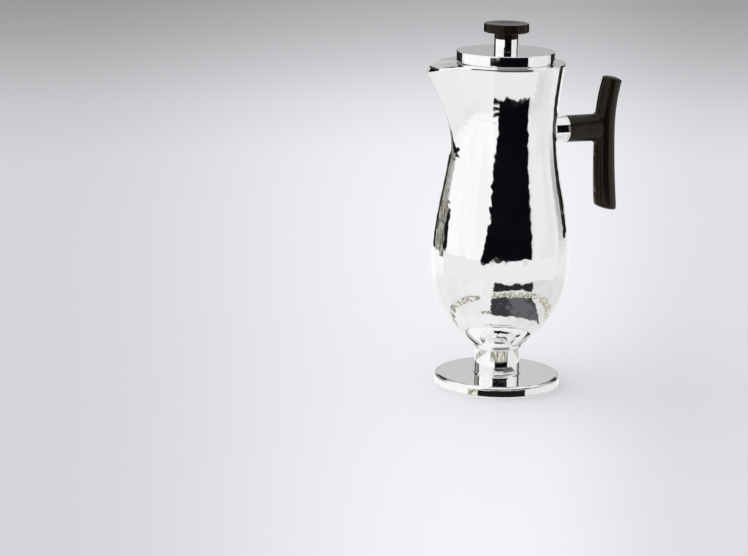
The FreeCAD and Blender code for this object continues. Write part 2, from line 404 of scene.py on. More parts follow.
@dataclass(frozen=True)
class Planishing:
    """Hammer marks of a raised vessel: shallow flats that meet in soft ridges, sizes in metres."""

    mark_size: float = 4.4 * MM
    mark_depth: float = 0.09 * MM
    mark_tilt: float = 0.075 * MM
    wave_size: float = 34 * MM
    wave_depth: float = 0.16 * MM
    seed: float = 7.3
    randomness: float = 0.85
    bowl_edge: float = 0.8
    wave_top: float = 0.85
    mask: str = "hammered"

    def tree(self) -> bpy.types.NodeTree:
        """Build the geometry tree that hammers a mesh inwards where its mask is set.

        Returns:
            The tree, with one named input for each size.
        """
        sizes = ("Mark Size", "Mark Depth", "Mark Tilt", "Wave Size", "Wave Depth", "Seed")
        inputs: dict[str, tuple[str, object]] = {"Vessel": ("NodeSocketGeometry", None)}
        inputs |= {label: ("NodeSocketFloat", 0.0) for label in sizes}
        inputs["Silver"] = ("NodeSocketMaterial", None)
        wiring, given, result = new_group(
            "planishing", "GeometryNodeTree", inputs, {"Vessel": "NodeSocketGeometry"}
        )
        place = wiring.node("GeometryNodeInputPosition").outputs[0]
        normal = wiring.node("GeometryNodeInputNormal").outputs[0]
        mask = wiring.node("GeometryNodeInputNamedAttribute", data_type="FLOAT", Name=self.mask)

        scaled = wiring.sized(place, given.outputs["Mark Size"])
        marks = wiring.node("ShaderNodeTexVoronoi", voronoi_dimensions="4D", Vector=scaled,
                            W=given.outputs["Seed"], Scale=1.0, Randomness=self.randomness)
        bowl = wiring.math("POWER", marks.outputs["Distance"], 2.0)
        bowl = wiring.math("MINIMUM", bowl, self.bowl_edge)
        dent = wiring.math("SUBTRACT", bowl, self.bowl_edge)
        dent = wiring.math("MULTIPLY", dent, given.outputs["Mark Depth"])

        lean = wiring.vector("SUBTRACT", marks.outputs["Color"], (0.5, 0.5, 0.5))
        spoke = wiring.vector("SUBTRACT", scaled, marks.outputs["Position"])
        slant = wiring.math("MULTIPLY", wiring.dot(lean, spoke), given.outputs["Mark Tilt"])

        broad = wiring.sized(place, given.outputs["Wave Size"])
        waves = wiring.node("ShaderNodeTexNoise", noise_dimensions="4D", Vector=broad,
                            W=given.outputs["Seed"], Scale=1.0, Detail=1.0)
        sway = wiring.math("SUBTRACT", waves.outputs[0], self.wave_top)
        sway = wiring.math("MULTIPLY", sway, given.outputs["Wave Depth"])

        depth = wiring.math("ADD", wiring.math("ADD", dent, slant), sway)
        depth = wiring.math("MULTIPLY", depth, mask.outputs[0])
        hammered = wiring.node("GeometryNodeSetPosition", Geometry=given.outputs["Vessel"],
                               Offset=wiring.vector("SCALE", normal, depth))
        real = wiring.node("GeometryNodeRealizeInstances", Geometry=hammered.outputs[0])
        finished = wiring.node("GeometryNodeSetMaterial", Geometry=real.outputs[0],
                               Material=given.outputs["Silver"])
        wiring.feed(finished.outputs[0], result.inputs[0])
        return wiring.tree

    def hammer(self, piece: bpy.types.Object, silver: bpy.types.Material) -> None:
        """Hammer a piece and keep the result as its plain mesh.

        Args:
            piece: A piece whose mesh carries the mask.
            silver: Its finish.
        """
        tree = self.tree()
        tool = piece.modifiers.new("planishing", "NODES")
        tool.node_group = tree
        values = {
            "Mark Size": self.mark_size, "Mark Depth": self.mark_depth, "Mark Tilt": self.mark_tilt,
            "Wave Size": self.wave_size, "Wave Depth": self.wave_depth, "Seed": self.seed,
            "Silver": silver,
        }
        for item in tree.interface.items_tree:
            if item.in_out == "INPUT" and item.name in values:
                tool[item.identifier] = values[item.name]
        settle(piece)


# Finishes


@dataclass(frozen=True)
class PolishMarks:
    """Hairlines and cloudy wear left by polishing, sizes in metres."""

    hairline_size: float = 0.4 * MM
    haze_size: float = 14 * MM
    strokes: tuple[Triple, ...] = ((0.2, 0.5, 0.1), (0.9, -0.4, 1.2))
    drawn_out: Triple = (1.0, 0.04, 1.0)
    hairline_range: Pair = (0.52, 0.72)
    haze_range: Pair = (0.35, 0.75)
    warmth_range: Pair = (0.42, 0.75)
    warmth_scale: float = 0.55

    def group(self) -> bpy.types.NodeTree:
        """Build the group.

        Returns:
            A group with outputs Hairlines, Haze and Warmth, each from 0 to 1.
        """
        inputs: dict[str, tuple[str, object]] = {
            "Hairline Size": ("NodeSocketFloat", self.hairline_size),
            "Haze Size": ("NodeSocketFloat", self.haze_size),
        }
        outputs = {label: "NodeSocketFloat" for label in ("Hairlines", "Haze", "Warmth")}
        wiring, given, result = new_group("polish_marks", "ShaderNodeTree", inputs, outputs)
        place = wiring.node("ShaderNodeTexCoord").outputs["Object"]
        fine = wiring.sized(place, given.outputs["Hairline Size"])
        total: object = 0.0
        for turn in self.strokes:
            drawn = wiring.node("ShaderNodeMapping", Vector=fine, Rotation=turn, Scale=self.drawn_out)
            lines = wiring.node("ShaderNodeTexNoise", Vector=drawn.outputs[0], Scale=1.0, Detail=2.0)
            thin = wiring.span(lines.outputs[0], *self.hairline_range)
            total = wiring.math("MAXIMUM", total, thin)
        cloud = wiring.sized(place, given.outputs["Haze Size"])
        haze = wiring.node("ShaderNodeTexNoise", Vector=cloud, Scale=1.0, Detail=3.0)
        warm = wiring.node("ShaderNodeTexNoise", Vector=cloud, Scale=self.warmth_scale, Detail=2.0)
        wiring.fill(result, Hairlines=total, Haze=wiring.span(haze.outputs[0], *self.haze_range),
                    Warmth=wiring.span(warm.outputs[0], *self.warmth_range))
        return wiring.tree


@dataclass(frozen=True)
class WoodGrain:
    """Grain of a dense dark hardwood, drawn out along Z of its coordinates, sizes in metres."""

    band_size: float = 3.2 * MM
    fibre_size: float = 0.5 * MM
    band_stretch: Triple = (1.0, 0.7, 0.07)
    fibre_stretch: Triple = (1.0, 1.0, 0.035)
    waviness: float = 0.6
    pore_scale: float = 0.8
    band_range: Pair = (0.3, 0.72)
    fibre_range: Pair = (0.3, 0.75)
    pore_range: Pair = (0.2, 0.08)

    def group(self) -> bpy.types.NodeTree:
        """Build the group.

        Returns:
            A group with outputs Bands, Fibres and Pores, each from 0 to 1.
        """
        inputs: dict[str, tuple[str, object]] = {
            "Vector": ("NodeSocketVector", None),
            "Band Size": ("NodeSocketFloat", self.band_size),
            "Fibre Size": ("NodeSocketFloat", self.fibre_size),
        }
        outputs = {label: "NodeSocketFloat" for label in ("Bands", "Fibres", "Pores")}
        wiring, given, result = new_group("wood_grain", "ShaderNodeTree", inputs, outputs)
        coarse = wiring.sized(given.outputs["Vector"], given.outputs["Band Size"])
        slow = wiring.node("ShaderNodeMapping", Vector=coarse, Scale=self.band_stretch)
        bands = wiring.node("ShaderNodeTexNoise", Vector=slow.outputs[0], Scale=1.0, Detail=4.0,
                            Distortion=self.waviness)
        close = wiring.sized(given.outputs["Vector"], given.outputs["Fibre Size"])
        drawn = wiring.node("ShaderNodeMapping", Vector=close, Scale=self.fibre_stretch)
        fibres = wiring.node("ShaderNodeTexNoise", Vector=drawn.outputs[0], Scale=1.0, Detail=2.0)
        flecks = wiring.node("ShaderNodeTexVoronoi", Vector=drawn.outputs[0], Scale=self.pore_scale)
        wiring.fill(result, Bands=wiring.span(bands.outputs[0], *self.band_range),
                    Fibres=wiring.span(fibres.outputs[0], *self.fibre_range),
                    Pores=wiring.span(flecks.outputs["Distance"], *self.pore_range))
        return wiring.tree


def new_material(name: str) -> tuple[bpy.types.Material, Wiring, bpy.types.Node]:
    """Start a material.

    Args:
        name: The material's name.

    Returns:
        The material, its wiring and its Principled shader.
    """
    material = bpy.data.materials.new(name)
    material.use_nodes = True
    shader = material.node_tree.nodes["Principled BSDF"]
    return material, Wiring(material.node_tree), shader


@dataclass(frozen=True)
class Metal:
    """A polished metal: its colour, warmer where it has begun to tarnish, and its gloss."""

    name: str
    colour: Triple = (0.974, 0.972, 0.97)
    warm: Triple = (0.96, 0.95, 0.925)
    tarnish: float = 0.75
    gloss: float = 0.025
    haze: float = 0.05
    hairline_haze: float = 0.03
    hairline_depth: float = 0.0012 * MM
    ripple_size: float = 9 * MM
    ripple_depth: float = 0.0

    def material(self, marks: bpy.types.NodeTree) -> bpy.types.Material:
        """Build the metal's material.

        Args:
            marks: The group of polishing marks.

        Returns:
            The material.
        """
        material, wiring, shader = new_material(self.name)
        worn = wiring.node("ShaderNodeGroup", node_tree=marks)
        warmth = wiring.math("MULTIPLY", worn.outputs["Warmth"], self.tarnish)
        tone = wiring.blend(warmth, (*self.colour, 1.0), (*self.warm, 1.0))
        rough = wiring.math("MULTIPLY_ADD", worn.outputs["Haze"], self.haze, self.gloss)
        rough = wiring.math("MULTIPLY_ADD", worn.outputs["Hairlines"], self.hairline_haze, rough)
        height = wiring.math("MULTIPLY", worn.outputs["Hairlines"], -self.hairline_depth)
        if self.ripple_depth:
            place = wiring.node("ShaderNodeTexCoord").outputs["Object"]
            ripple = wiring.node("ShaderNodeTexNoise", Vector=place, Scale=1 / self.ripple_size,
                                 Detail=1.0)
            height = wiring.math("MULTIPLY_ADD", ripple.outputs[0], self.ripple_depth, height)
        bump = wiring.node("ShaderNodeBump", Height=height, Distance=1.0, Strength=1.0)
        wiring.fill(shader, Metallic=1.0, Base_Color=tone, Roughness=rough, Normal=bump.outputs[0])
        return material


@dataclass(frozen=True)
class DarkWood:
    """Oiled dark hardwood with a satin gloss, its grain turned to run along the piece."""

    name: str
    grain_turn: Triple = (0.0, 0.0, 0.0)
    dark: Triple = (0.0062, 0.0042, 0.0022)
    brown: Triple = (0.0225, 0.0148, 0.0068)
    pore: Triple = (0.004, 0.003, 0.0025)
    pore_share: float = 0.7
    fibre_share: float = 0.55
    gloss: float = 0.14
    fibre_gloss: float = 0.07
    pore_gloss: float = 0.1
    shine: float = 0.25
    shine_tint: Triple = (1.0, 0.94, 0.85)
    fibre_depth: float = 0.02 * MM
    relief: float = 0.5

    def material(self, grain: bpy.types.NodeTree) -> bpy.types.Material:
        """Build the wood's material.

        Args:
            grain: The group of wood grain.

        Returns:
            The material.
        """
        material, wiring, shader = new_material(self.name)
        place = wiring.node("ShaderNodeTexCoord").outputs["Object"]
        along = wiring.node("ShaderNodeMapping", Vector=place, Rotation=self.grain_turn)
        figure = wiring.node("ShaderNodeGroup", node_tree=grain, Vector=along.outputs[0])
        bands, fibres, pores = (figure.outputs[k] for k in ("Bands", "Fibres", "Pores"))
        share = wiring.math("MULTIPLY", bands, wiring.span(fibres, 0.0, 1.0, self.fibre_share, 1.0))
        tone = wiring.blend(share, (*self.dark, 1.0), (*self.brown, 1.0))
        share = wiring.math("MULTIPLY", pores, self.pore_share)
        tone = wiring.blend(share, tone, (*self.pore, 1.0))
        rough = wiring.math("MULTIPLY_ADD", fibres, self.fibre_gloss, self.gloss)
        rough = wiring.math("MULTIPLY_ADD", pores, self.pore_gloss, rough)
        height = wiring.math("SUBTRACT", wiring.math("MULTIPLY", fibres, 0.5), pores)
        height = wiring.math("MULTIPLY", height, self.fibre_depth)
        bump = wiring.node("ShaderNodeBump", Height=height, Distance=1.0, Strength=self.relief)
        wiring.fill(shader, Base_Color=tone, Roughness=rough, Normal=bump.outputs[0],
                    Specular_IOR_Level=self.shine, Specular_Tint=(*self.shine_tint, 1.0))
        return material


@dataclass
class Finishes:
    """The pot's finishes, built once."""

    hammered: bpy.types.Material = field(init=False)
    polished: bpy.types.Material = field(init=False)
    grip_wood: bpy.types.Material = field(init=False)
    knob_wood: bpy.types.Material = field(init=False)
    brass: bpy.types.Material = field(init=False)

    def __post_init__(self) -> None:
        """Build the shared groups and the materials."""
        marks, grain = PolishMarks().group(), WoodGrain().group()
        self.hammered = Metal("hammered_silver", haze=0.03).material(marks)
        self.polished = Metal("polished_silver", ripple_depth=0.012 * MM).material(marks)
        brass = Metal("brass_fitting", colour=(0.72, 0.54, 0.26), warm=(0.55, 0.36, 0.15), gloss=0.14)
        self.brass = brass.material(marks)
        self.grip_wood = DarkWood("grip_wood").material(grain)
        across = (math.radians(90), 0.0, math.radians(25))
        self.knob_wood = DarkWood("knob_wood", grain_turn=across, shine=0.12).material(grain)


# Pieces


@dataclass
class Vessel:
    """The raised body: one skin, drawn out towards the rim into a pouring lip, in millimetres."""

    wall: float = 1.1
    bottom: Pair = (6.0, 22.0)
    bottom_pull: Pair = (11.6, 6.0)
    belly: Pair = (47.4, 89.4)
    belly_pulls: Pair = (42.6, 35.5)
    waist: Pair = (36.3, 183.0)
    waist_pulls: Pair = (40.1, 12.0)
    rim: Pair = (40.3, 222.6)
    rim_pull: Pair = (0.9, 7.3)
    rim_drop: float = 0.35
    edge_outside: tuple[Pair, ...] = ((0.0, 0.2), (0.05, 0.09), (0.2, 0.0))
    edge_inside: tuple[Pair, ...] = ((0.3, 0.0), (0.1, 0.09))
    lip_start: float = 155.0
    lip_reach: float = 19.2
    lip_growth: float = 1.75
    lip_nose: float = 0.05
    lip_open: float = 7.6
    lip_fall: float = 2.0
    lip_droop: float = 1.9
    lip_rows_from: float = 188.0
    lip_rounds: int = 40
    samples: int = 400
    least_rise: float = 1e-6
    rows: int = 206
    inner_rows: int = 46
    columns: int = 288
    crowding: float = 0.15
    fade: Pair = (1.2, 34.0)
    planishing: Planishing = field(default_factory=Planishing)
    radii: np.ndarray = field(init=False)
    heights: np.ndarray = field(init=False)
    lean: np.ndarray = field(init=False)

    def __post_init__(self) -> None:
        """Sample the outline closely."""
        bottom, belly, waist, rim = map(np.array, (self.bottom, self.belly, self.waist, self.rim))
        curves = (
            (bottom, bottom + self.bottom_pull, belly - (0, self.belly_pulls[0]), belly),
            (belly, belly + (0, self.belly_pulls[1]), waist - (0, self.waist_pulls[0]), waist),
            (waist, waist + (0, self.waist_pulls[1]), rim - self.rim_pull, rim),
        )
        t = np.linspace(0, 1, self.samples)[:, None]
        weights = np.hstack([(1 - t) ** 3, 3 * t * (1 - t) ** 2, 3 * t * t * (1 - t), t ** 3])
        points = np.vstack([weights @ np.array(curve) for curve in curves])
        keep = np.concatenate([[True], np.diff(points[:, 1]) > self.least_rise])
        self.radii, self.heights = points[keep].T
        slope = np.gradient(self.radii, self.heights)
        self.lean = slope / np.hypot(1, slope)

    @property
    def mouth_end(self) -> float:
        """Distance from the axis to where the deck ends at the lip."""
        return self.rim[0] + self.lip_reach - self.lip_open

    def turns(self, extra: Sequence[float] = ()) -> np.ndarray:
        """Angles of the columns, closer together at the lip's nose.

        Args:
            extra: Angles to add to them.

        Returns:
            Sorted angles from the lip.
        """
        share = np.linspace(-1, 1, self.columns, endpoint=False)
        angles = math.pi * (share * (1 - self.crowding) + self.crowding * share ** 3)
        return np.sort(np.concatenate([angles, extra]))

    def reach(self, height: np.ndarray, turn: np.ndarray, inset: float = 0.0) -> np.ndarray:
        """Distance from the axis to the skin.

        Args:
            height: Heights on the outline.
            turn: Angles from the lip.
            inset: How far inside the outer skin, square to it.

        Returns:
            The distances.
        """
        radius = np.interp(height, self.heights, self.radii)
        upright = np.sqrt(1 - np.interp(height, self.heights, self.lean) ** 2)
        keel = self.keel(height)
        nose = np.where(keel > 0, self.lip_nose, 0.0)
        round_radius = radius + inset * (1 - upright)
        spread = np.arccos(round_radius / (round_radius + keel)) + nose
        return (radius - inset * upright) / np.cos(np.maximum(0, spread - np.hypot(turn, nose)))

    def keel(self, height: np.ndarray | float) -> np.ndarray:
        """How far the lip's keel stands out from the round body."""
        share = np.maximum(0, np.asarray(height) - self.lip_start) / (self.rim[1] - self.lip_start)
        return self.lip_reach * share ** self.lip_growth

    def deck_edge(self, turn: np.ndarray) -> np.ndarray:
        """Distance from the axis to the rim, as the deck on it is cut.

        Args:
            turn: Angles from the lip.

        Returns:
            The distances.
        """
        radius, nose = self.rim[0], self.lip_nose
        keel = self.keel(self.rim[1] - self.lip_fall / 2)
        spread = np.arccos(radius / (radius + keel)) + nose
        return radius / np.cos(np.maximum(0, spread - np.hypot(turn, nose)))

    def fall(self, ahead: np.ndarray) -> np.ndarray:
        """How far the rim has sunk at a distance towards the lip, up to the deck's end."""
        share = (ahead - self.rim[0]) / (self.mouth_end - self.rim[0])
        return self.lip_fall * np.clip(share, 0, 1)

    def rim_heights(self, turn: np.ndarray) -> np.ndarray:
        """Height of the rim round the pot, sinking to the lip and drooping at its nose.

        Args:
            turn: Angles from the lip.

        Returns:
            One height for each angle.
        """
        steepness = self.lip_reach * self.lip_growth / (self.rim[1] - self.lip_start)
        tip = self.rim[0] + self.lip_reach - (self.lip_fall + self.lip_droop) * steepness
        slope = self.lip_droop / (tip - self.mouth_end)
        top = np.full_like(turn, self.rim[1])
        for _ in range(self.lip_rounds):
            ahead = self.reach(top, turn) * np.cos(turn)
            top = self.rim[1] - self.fall(ahead) - slope * np.maximum(0, ahead - self.mouth_end)
        return top

    def ring(self, height: np.ndarray, turn: np.ndarray, inset: float) -> np.ndarray:
        """Points of the skin at given heights and angles.

        Args:
            height: Heights on the outline.
            turn: Angles from the lip.
            inset: How far inside the outer skin, square to it.

        Returns:
            The points.
        """
        reach = self.reach(height, turn, inset)
        shift = inset * np.interp(height, self.heights, self.lean)
        z = np.minimum(height + shift, np.maximum(height, self.rim[1] - self.wall))
        return np.stack([-reach * np.cos(turn), reach * np.sin(turn), z], axis=-1)

    def row_heights(self, count: int, top: np.ndarray) -> np.ndarray:
        """Heights of evenly spaced rows, squeezed under the drooping lip.

        Args:
            count: Number of rows.
            top: Heights of the rim round the pot.

        Returns:
            Heights, by row and by place round the pot.
        """
        steps = np.hypot(np.diff(self.radii), np.diff(self.heights))
        length = np.concatenate([[0], np.cumsum(steps)])
        even = np.interp(np.linspace(0, length[-1], count), length, self.heights)[:, None]
        start = self.lip_rows_from
        upper = np.maximum(0, even - start) / (self.rim[1] - start)
        return np.minimum(even, start) + upper * (top - self.rim_drop - start)

    def height_at(self, radius: float) -> float:
        """Height of the underside at a distance from the axis below the belly."""
        low = self.heights < self.belly[1]
        return float(np.interp(radius, self.radii[low], self.heights[low]))

    def build(self, finishes: Finishes) -> None:
        """Raise, hammer and dress the skin.

        Args:
            finishes: The pot's finishes.
        """
        turn = self.turns()
        top = self.rim_heights(turn)
        wall = self.wall
        edge = (*self.edge_outside, *((wall - inset, drop) for inset, drop in self.edge_inside))
        outside = [self.ring(row, turn, 0.0) for row in self.row_heights(self.rows, top)]
        rounding = [self.ring(top - drop, turn, inset) for inset, drop in edge]
        inner_rows = self.row_heights(self.inner_rows, top)
        inside = [self.ring(row, turn, wall) for row in inner_rows[::-1]]
        rings = np.array(outside + rounding + inside)
        ends = (np.array((0, 0, self.bottom[1])), np.array((0, 0, self.bottom[1] + wall)))
        piece = ringed("vessel_skin", rings, ends)

        below = top - rings[:self.rows, :, 2]
        share = np.clip((below - self.fade[0]) / (self.fade[1] - self.fade[0]), 0, 1)
        mask = np.zeros(len(piece.data.vertices), dtype=np.float32)
        mask[:share.size] = eased(share).ravel()
        attribute = piece.data.attributes.new(self.planishing.mask, "FLOAT", "POINT")
        attribute.data.foreach_set("value", mask)
        self.planishing.hammer(piece, finishes.hammered)
        dress(piece, finishes.hammered, Body.POT, Slot.HAMMERED, "body")


@dataclass
class Deck:
    """The flat plate on the rim with the lid's opening, and the seat under it, in millimetres."""

    vessel: Vessel
    wall: float = 1.2
    thickness: float = 1.4
    band: float = 10.0
    edge_round: float = 0.4
    seat_round: float = 0.3
    joint_round: float = 0.12
    collar_round: float = 0.3
    collar_seam: float = 0.05
    lip_cosine: float = 0.5
    corner_gap: float = 0.004
    corner_limit: float = 0.6
    corner_samples: int = 4000

    def build(self, finishes: Finishes) -> None:
        """Build and dress the deck and the lid's seat.

        Args:
            finishes: The pot's finishes.
        """
        top = node_box("top_deck")[1][2]
        bottom = top - self.thickness
        seat_low, seat_high = node_box("lid_seat")
        hole = seat_high[0] - self.wall
        corner = self.corner_angle()
        gaps = (-self.corner_gap, 0, self.corner_gap)
        turn = self.vessel.turns([side * (corner + gap) for side in (-1, 1) for gap in gaps])
        at_lip = np.cos(turn) > self.lip_cosine
        ahead = np.where(at_lip, turn, 0)
        edge = self.vessel.deck_edge(turn)
        cut = np.where(at_lip, self.vessel.mouth_end / np.cos(ahead), edge)
        edge = np.minimum(edge, cut)
        outline = rounded([
            (0, bottom, self.joint_round), (self.band, bottom, self.joint_round),
            (self.band, top, self.edge_round), (0, top, self.seat_round),
        ])
        across, up = outline[:, :1], outline[:, 1:]
        reach = np.where(across < self.band / 2, hole + across, edge - self.band + across)
        x = -reach * np.cos(turn)
        rings = np.stack([x, reach * np.sin(turn), up - self.vessel.fall(-x)], axis=-1)
        dress(ringed("deck_plate", rings), finishes.polished, Body.POT, Slot.POLISHED, "top_deck")

        seat = rounded([
            (hole, seat_low[2], self.collar_round), (seat_high[0], seat_low[2], self.collar_round),
            (seat_high[0], seat_high[2], self.collar_seam), (hole, seat_high[2], self.collar_seam),
        ])
        dress(lathe("lid_seat_collar", seat), finishes.polished, Body.POT, Slot.POLISHED, "lid_seat")

    def corner_angle(self) -> float:
        """Angle from the lip at which the deck's outline meets its cut end.

        Returns:
            The angle, in radians.
        """
        angles = np.linspace(0, self.corner_limit, self.corner_samples)
        reach = self.vessel.deck_edge(angles)
        return float(angles[np.argmax(reach * np.cos(angles) < self.vessel.mouth_end)])


@dataclass
class Pedestal:
    """The foot, the stem and the bead under the body, in millimetres."""

    vessel: Vessel
    sheet: float = 1.3
    tube_wall: float = 1.2
    foot_round: float = 2.4
    foot_open: float = 12.0
    base_round: float = 1.0
    seam_round: float = 0.1
    flare: float = 1.1
    flare_steps: int = 8
    sink: float = 0.3
    solder: float = 0.5
    solder_sink: float = 0.12
    bead_root: float = 0.05
    bead_depth: float = 0.6
    bead_steps: int = 10

    def build(self, finishes: Finishes) -> None:
        """Build and dress the four turned pieces.

        Args:
            finishes: The pot's finishes.
        """
        for name, outline, closed, node in (
            ("foot_cap", self.foot_outline(), True, "foot_plate"),
            ("foot_base", self.base_outline(), False, "foot_base_plate"),
            ("stem_tube", self.stem_outline(), True, "pedestal_stem"),
            ("stem_bead", self.bead_outline(), True, "pedestal_collar"),
        ):
            piece = lathe(name, outline, closed)
            dress(piece, finishes.polished, Body.POT, Slot.POLISHED, node)

    def foot_outline(self) -> np.ndarray:
        """Section of the foot's cap.

        Returns:
            Points of the outline.
        """
        low, high = node_box("foot_plate")
        r, top, bottom, sheet = high[0], high[2], low[2], self.sheet
        return rounded([
            (self.foot_open, top, 0), (r, top, self.foot_round), (r, bottom, self.seam_round),
            (r - sheet, bottom, 0), (r - sheet, top - sheet, self.foot_round - sheet),
            (self.foot_open, top - sheet, 0),
        ], steps=9)

    def base_outline(self) -> np.ndarray:
        """Section of the plate that the pot stands on.

        Returns:
            Points of the outline.
        """
        low, high = node_box("foot_base_plate")
        r, top, bottom = high[0], high[2], low[2]
        return rounded([
            (0, bottom, 0), (r, bottom, self.base_round), (r, top, self.seam_round), (0, top, 0),
        ], closed=False, steps=8)

    def stem_outline(self) -> np.ndarray:
        """Section of the stem, flared at the foot and seated on the body.

        Returns:
            Points of the outline.
        """
        low, high = node_box("pedestal_stem")
        r, bottom = high[0] - self.flare, low[2]
        inner = r - self.tube_wall
        flare = [(r + self.flare, bottom)]
        for step in range(1, self.flare_steps + 1):
            angle = math.radians(270 - 90 * step / self.flare_steps)
            flare.append((r + self.flare + self.flare * math.cos(angle),
                          bottom + self.flare + self.flare * math.sin(angle)))
        top = [(r, bottom + 2 * self.flare), (r, self.vessel.height_at(r) + self.sink),
               (inner, self.vessel.height_at(inner) + self.sink)]
        return np.array([(inner, bottom)] + flare + top)

    def bead_outline(self) -> np.ndarray:
        """Section of the bead between stem and body, with a soft edge of solder above it.

        Returns:
            Points of the outline.
        """
        low, high = node_box("pedestal_collar")
        stem = node_box("pedestal_stem")[1][0] - self.flare
        bottom, middle = low[2], (low[2] + self.vessel.height_at(high[0])) / 2
        swell, half = high[0] - stem, middle - bottom
        root, points = self.bead_root, []
        for step in range(-self.bead_steps, self.bead_steps + 1):
            angle = math.radians(90 * step / self.bead_steps)
            across = stem - root + (swell + root) * math.cos(angle)
            points.append((across, middle + half * math.sin(angle)))
        top, inner = stem + self.solder, stem - self.bead_depth
        points.append((top, self.vessel.height_at(top) + self.solder_sink))
        points.append((inner, self.vessel.height_at(stem) + self.sink))
        points.append((inner, bottom + self.sink))
        return np.array(points)


@dataclass
class Handle:
    """The socket on the body, its rivet and the wooden T, in millimetres."""

    vessel: Vessel
    tube_wall: float = 1.2
    lip: float = 0.45
    lip_length: float = 1.2
    lip_hold: Pair = (1.0, 2.0)
    lip_rounds: tuple[float, ...] = (0.1, 0.15, 0.2, 0.15)
    solder: float = 0.7
    solder_steps: int = 6
    solder_hold: float = 0.2
    sink: float = 0.08
    sides: int = 160
    rivet_proud: float = 0.006
    rivet_rings: tuple[float, ...] = (0.35, 0.7, 1.0)
    rivet_sides: int = 64
    weld: float = 0.001
    voxel: float = 0.55
    sanding: tuple[float, int] = (0.5, 6)
    end_sanding: tuple[float, int] = (0.6, 50)
    end_length: float = 9.0
    stretch: Pair = (0.5, 0.2)
    end_slope: float = 14.0
    end_depth: float = 0.9
    end_dome: float = 1.3
    height: float = field(init=False)
    radius: float = field(init=False)
    end: float = field(init=False)

    def __post_init__(self) -> None:
        """Take the socket's axis, radius and end from the frame."""
        low, high = node_box("handle_socket")
        self.height = (low[2] + high[2]) / 2
        self.radius = (high[2] - low[2]) / 2 - self.lip
        self.end = high[0]

    def build(self, finishes: Finishes) -> None:
        """Build and dress the socket, the rivet and the wooden T.

        Args:
            finishes: The pot's finishes.
        """
        dress(self.socket(), finishes.polished, Body.POT, Slot.POLISHED, "handle_socket")
        dress(self.rivet(), finishes.polished, Body.POT, Slot.POLISHED, "handle_pin")
        dress(self.wooden_t(), finishes.grip_wood, Body.POT, Slot.WOOD, "handle_grip")

    def wall_at(self, around: np.ndarray, radius: float) -> np.ndarray:
        """X of the body's wall round a circle about the handle's axis."""
        y, z = radius * np.sin(around), self.height + radius * np.cos(around)
        return np.sqrt(np.interp(z, self.vessel.heights, self.vessel.radii) ** 2 - y * y)

    def socket(self) -> bpy.types.Object:
        """Tube seated on the body with a soft edge of solder and a thin lip at its end.

        Returns:
            The socket.
        """
        around = circle(self.sides)
        r, inner, end, lip = self.radius, self.radius - self.tube_wall, self.end, self.lip
        shoulder = end - self.lip_length
        tube = []
        for step in range(self.solder_steps + 1):
            angle = math.radians(90 * step / self.solder_steps)
            grow = self.solder * (1 - math.sin(angle))
            lift = self.solder * (1 - math.cos(angle)) - self.sink
            tube.append((r + grow, self.wall_at(around, r + grow) + lift))
        tube.append((r, tube[-1][1] + self.solder_hold))
        before, behind = self.lip_hold
        root, back, front, bore = self.lip_rounds
        lips = rounded([
            (r, shoulder - before, 0), (r, shoulder, root), (r + lip, shoulder, back),
            (r + lip, end, front), (inner, end, bore), (inner, end - behind, 0),
        ], closed=False, steps=5)
        tube += [(across, np.full_like(around, x)) for across, x in lips]
        tube.append((inner, self.wall_at(around, inner) - self.sink))
        rings = np.array([
            np.stack([x, across * np.sin(around), self.height + across * np.cos(around)], axis=-1)
            for across, x in tube
        ])
        return ringed("handle_socket_tube", rings)

    def rivet(self) -> bpy.types.Object:
        """Rivet across the socket, with heads dressed flush to the tube.

        Returns:
            The rivet.
        """
        low, high = node_box("handle_pin")
        radius, middle = (high[0] - low[0]) / 2, (low[0] + high[0]) / 2
        around = circle(self.rivet_sides)
        crown = self.radius + self.rivet_proud
        rings = []
        for side, shares in ((-1, self.rivet_rings), (1, self.rivet_rings[::-1])):
            for share in shares:
                x, z = share * radius * np.cos(around), share * radius * np.sin(around)
                y = side * np.sqrt(crown ** 2 - z ** 2)
                rings.append(np.stack([middle + x, y, self.height + z], axis=-1))
        ends = (np.array((middle, -crown, self.height)), np.array((middle, crown, self.height)))
        return ringed("handle_rivet", np.array(rings), ends)

    def wooden_t(self) -> bpy.types.Object:
        """The carved T with its edges sanded soft, worked from the solid of the frame.

        Returns:
            The wooden T.
        """
        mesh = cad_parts["handle_grip"].data.copy()
        solid = bmesh.new()
        solid.from_mesh(mesh)
        bmesh.ops.remove_doubles(solid, verts=solid.verts, dist=self.weld * MM)
        solid.to_mesh(mesh)
        solid.free()
        piece = add_piece("wooden_handle", mesh)
        carve = piece.modifiers.new("carve", "REMESH")
        carve.mode = "VOXEL"
        carve.voxel_size = self.voxel * MM
        carve.use_smooth_shade = True
        sand = piece.modifiers.new("sand", "SMOOTH")
        sand.factor, sand.iterations = self.sanding
        settle(piece)
        self.round_end(piece)
        return piece

    def round_end(self, piece: bpy.types.Object) -> None:
        """Sand the lower end of the grip rounder than the rest.

        Args:
            piece: The carved T as a plain mesh.
        """
        end = piece.vertex_groups.new(name="lower_end")
        bottom = node_box("handle_grip")[0][2]
        for vertex in piece.data.vertices:
            above = vertex.co.z / MM - bottom
            if above < self.end_length:
                end.add([vertex.index], 1 - above / self.end_length, "REPLACE")
        sand = piece.modifiers.new("sand_end", "SMOOTH")
        sand.factor, sand.iterations = self.end_sanding
        sand.vertex_group = end.name
        settle(piece)
        piece.vertex_groups.clear()
        self.swell_ends(piece.data)

